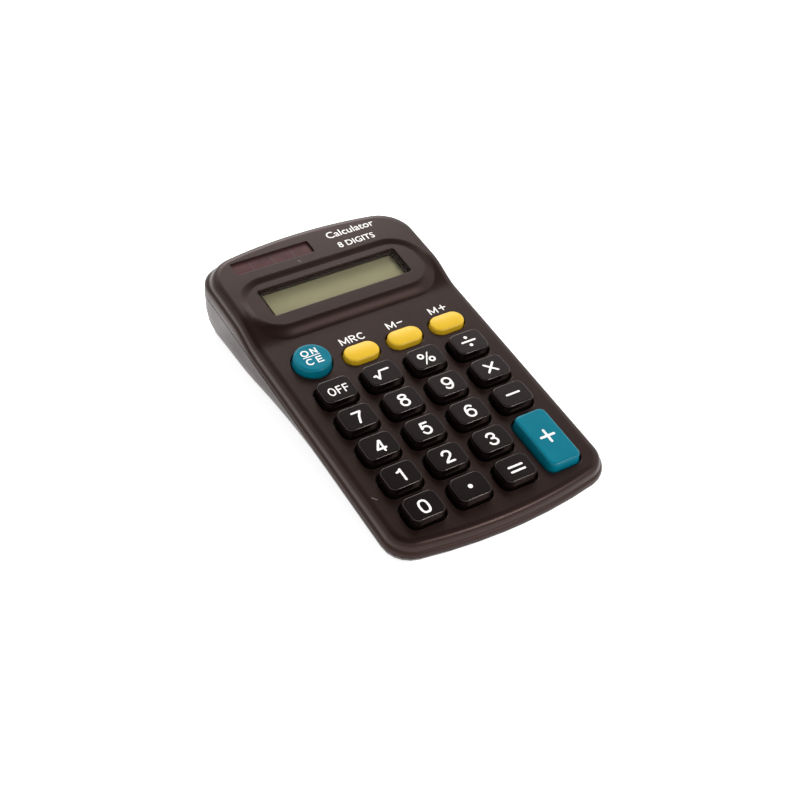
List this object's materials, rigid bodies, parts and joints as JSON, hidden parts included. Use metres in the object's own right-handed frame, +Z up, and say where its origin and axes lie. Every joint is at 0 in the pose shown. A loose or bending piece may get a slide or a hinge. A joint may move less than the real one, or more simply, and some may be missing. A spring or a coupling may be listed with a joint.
{
  "type": "desk calculator",
  "caption": "Small battery calculator with a raised display head, recessed solar window, round and pill-shaped coloured keys and a block of black keys.",
  "frame": {"origin": "middle of the footprint, on the surface it rests on", "axes": "+X to the right of someone using it, +Y towards the display end, +Z up; the keypad leans back 5.8 degrees about X"},
  "size_m": [0.0696, 0.1212, 0.0208],
  "materials": {
    "case_plastic": "fine satin moulded black-brown ABS",
    "key_plastic": "smooth satin black",
    "teal_plastic": "smooth satin teal",
    "yellow_plastic": "smooth satin yellow",
    "clear_plastic": "clear acrylic",
    "display_glass": "grey-green reflective liquid-crystal glass",
    "solar_glass": "dark red-brown amorphous silicon on glass",
    "dome_rubber": "silicone",
    "carbon_rubber": "layered conductive elastomer",
    "board_laminate": "brown phenolic laminate",
    "epoxy": "black potting epoxy",
    "plated_steel": "nickel plated",
    "battery_jacket": "printed metal-look jacket",
    "capacitor_sleeve": "shrunk sleeve",
    "red_insulation": "wire insulation",
    "black_insulation": "wire insulation"
  },
  "bodies": {
    "case": {"battery_aa": "battery_jacket", "battery_contact_negative": "plated_steel", "battery_contact_positive": "plated_steel", "battery_spring": "plated_steel", "battery_wire_black": "black_insulation", "battery_wire_red": "red_insulation", "board_screw_1": "plated_steel", "board_screw_2": "plated_steel", "board_screw_3": "plated_steel", "board_screw_4": "plated_steel", "board_screw_5": "plated_steel", "board_screw_6": "plated_steel", "bottom_case": "case_plastic", "capacitor": "capacitor_sleeve", "case_screw_1": "plated_steel", "case_screw_2": "plated_steel", "case_screw_3": "plated_steel", "case_screw_4": "plated_steel", "chip_blob": "epoxy", "circuit_board": "board_laminate", "display_window": "clear_plastic", "keypad_membrane": "dome_rubber", "lcd_panel": "display_glass", "solar_cell": "solar_glass", "solar_wire_black": "black_insulation", "solar_wire_red": "red_insulation", "top_case": "case_plastic", "zebra_connector": "carbon_rubber"},
    "battery_door": {"battery_door": "case_plastic"},
    "key_0": {"key_0": "key_plastic"},
    "key_1": {"key_1": "key_plastic"},
    "key_2": {"key_2": "key_plastic"},
    "key_3": {"key_3": "key_plastic"},
    "key_4": {"key_4": "key_plastic"},
    "key_5": {"key_5": "key_plastic"},
    "key_6": {"key_6": "key_plastic"},
    "key_7": {"key_7": "key_plastic"},
    "key_8": {"key_8": "key_plastic"},
    "key_9": {"key_9": "key_plastic"},
    "key_divide": {"key_divide": "key_plastic"},
    "key_equals": {"key_equals": "key_plastic"},
    "key_memory_minus": {"key_memory_minus": "yellow_plastic"},
    "key_memory_plus": {"key_memory_plus": "yellow_plastic"},
    "key_memory_recall": {"key_memory_recall": "yellow_plastic"},
    "key_minus": {"key_minus": "key_plastic"},
    "key_multiply": {"key_multiply": "key_plastic"},
    "key_off": {"key_off": "key_plastic"},
    "key_on_ce": {"key_on_ce": "teal_plastic"},
    "key_percent": {"key_percent": "key_plastic"},
    "key_plus": {"key_plus": "teal_plastic"},
    "key_point": {"key_point": "key_plastic"},
    "key_square_root": {"key_square_root": "key_plastic"}
  },
  "joints": [
    {"name": "press_0", "type": "slide", "parent": "case", "child": "key_0", "axis": [0, 0.1011, -0.9949], "range_m": [0, 0.0009], "stiffness_N_per_m": 900, "deforming": ["keypad_membrane"]},
    {"name": "press_1", "type": "slide", "parent": "case", "child": "key_1", "axis": [0, 0.1011, -0.9949], "range_m": [0, 0.0009], "stiffness_N_per_m": 900, "deforming": ["keypad_membrane"]},
    {"name": "press_2", "type": "slide", "parent": "case", "child": "key_2", "axis": [0, 0.1011, -0.9949], "range_m": [0, 0.0009], "stiffness_N_per_m": 900, "deforming": ["keypad_membrane"]},
    {"name": "press_3", "type": "slide", "parent": "case", "child": "key_3", "axis": [0, 0.1011, -0.9949], "range_m": [0, 0.0009], "stiffness_N_per_m": 900, "deforming": ["keypad_membrane"]},
    {"name": "press_4", "type": "slide", "parent": "case", "child": "key_4", "axis": [0, 0.1011, -0.9949], "range_m": [0, 0.0009], "stiffness_N_per_m": 900, "deforming": ["keypad_membrane"]},
    {"name": "press_5", "type": "slide", "parent": "case", "child": "key_5", "axis": [0, 0.1011, -0.9949], "range_m": [0, 0.0009], "stiffness_N_per_m": 900, "deforming": ["keypad_membrane"]},
    {"name": "press_6", "type": "slide", "parent": "case", "child": "key_6", "axis": [0, 0.1011, -0.9949], "range_m": [0, 0.0009], "stiffness_N_per_m": 900, "deforming": ["keypad_membrane"]},
    {"name": "press_7", "type": "slide", "parent": "case", "child": "key_7", "axis": [0, 0.1011, -0.9949], "range_m": [0, 0.0009], "stiffness_N_per_m": 900, "deforming": ["keypad_membrane"]},
    {"name": "press_8", "type": "slide", "parent": "case", "child": "key_8", "axis": [0, 0.1011, -0.9949], "range_m": [0, 0.0009], "stiffness_N_per_m": 900, "deforming": ["keypad_membrane"]},
    {"name": "press_9", "type": "slide", "parent": "case", "child": "key_9", "axis": [0, 0.1011, -0.9949], "range_m": [0, 0.0009], "stiffness_N_per_m": 900, "deforming": ["keypad_membrane"]},
    {"name": "press_divide", "type": "slide", "parent": "case", "child": "key_divide", "axis": [0, 0.1011, -0.9949], "range_m": [0, 0.0009], "stiffness_N_per_m": 900, "deforming": ["keypad_membrane"]},
    {"name": "press_equals", "type": "slide", "parent": "case", "child": "key_equals", "axis": [0, 0.1011, -0.9949], "range_m": [0, 0.0009], "stiffness_N_per_m": 900, "deforming": ["keypad_membrane"]},
    {"name": "press_memory_minus", "type": "slide", "parent": "case", "child": "key_memory_minus", "axis": [0, 0.1011, -0.9949], "range_m": [0, 0.0009], "stiffness_N_per_m": 900, "deforming": ["keypad_membrane"]},
    {"name": "press_memory_plus", "type": "slide", "parent": "case", "child": "key_memory_plus", "axis": [0, 0.1011, -0.9949], "range_m": [0, 0.0009], "stiffness_N_per_m": 900, "deforming": ["keypad_membrane"]},
    {"name": "press_memory_recall", "type": "slide", "parent": "case", "child": "key_memory_recall", "axis": [0, 0.1011, -0.9949], "range_m": [0, 0.0009], "stiffness_N_per_m": 900, "deforming": ["keypad_membrane"]},
    {"name": "press_minus", "type": "slide", "parent": "case", "child": "key_minus", "axis": [0, 0.1011, -0.9949], "range_m": [0, 0.0009], "stiffness_N_per_m": 900, "deforming": ["keypad_membrane"]},
    {"name": "press_multiply", "type": "slide", "parent": "case", "child": "key_multiply", "axis": [0, 0.1011, -0.9949], "range_m": [0, 0.0009], "stiffness_N_per_m": 900, "deforming": ["keypad_membrane"]},
    {"name": "press_off", "type": "slide", "parent": "case", "child": "key_off", "axis": [0, 0.1011, -0.9949], "range_m": [0, 0.0009], "stiffness_N_per_m": 900, "deforming": ["keypad_membrane"]},
    {"name": "press_on_ce", "type": "slide", "parent": "case", "child": "key_on_ce", "axis": [0, 0.1011, -0.9949], "range_m": [0, 0.0009], "stiffness_N_per_m": 900, "deforming": ["keypad_membrane"]},
    {"name": "press_percent", "type": "slide", "parent": "case", "child": "key_percent", "axis": [0, 0.1011, -0.9949], "range_m": [0, 0.0009], "stiffness_N_per_m": 900, "deforming": ["keypad_membrane"]},
    {"name": "press_plus", "type": "slide", "parent": "case", "child": "key_plus", "axis": [0, 0.1011, -0.9949], "range_m": [0, 0.0009], "stiffness_N_per_m": 900, "deforming": ["keypad_membrane"]},
    {"name": "press_point", "type": "slide", "parent": "case", "child": "key_point", "axis": [0, 0.1011, -0.9949], "range_m": [0, 0.0009], "stiffness_N_per_m": 900, "deforming": ["keypad_membrane"]},
    {"name": "press_square_root", "type": "slide", "parent": "case", "child": "key_square_root", "axis": [0, 0.1011, -0.9949], "range_m": [0, 0.0009], "stiffness_N_per_m": 900, "deforming": ["keypad_membrane"]},
    {"name": "battery_door_slide", "type": "slide", "parent": "case", "child": "battery_door", "axis": [0, 1, 0], "range_m": [0, 0.024]}
  ]
}
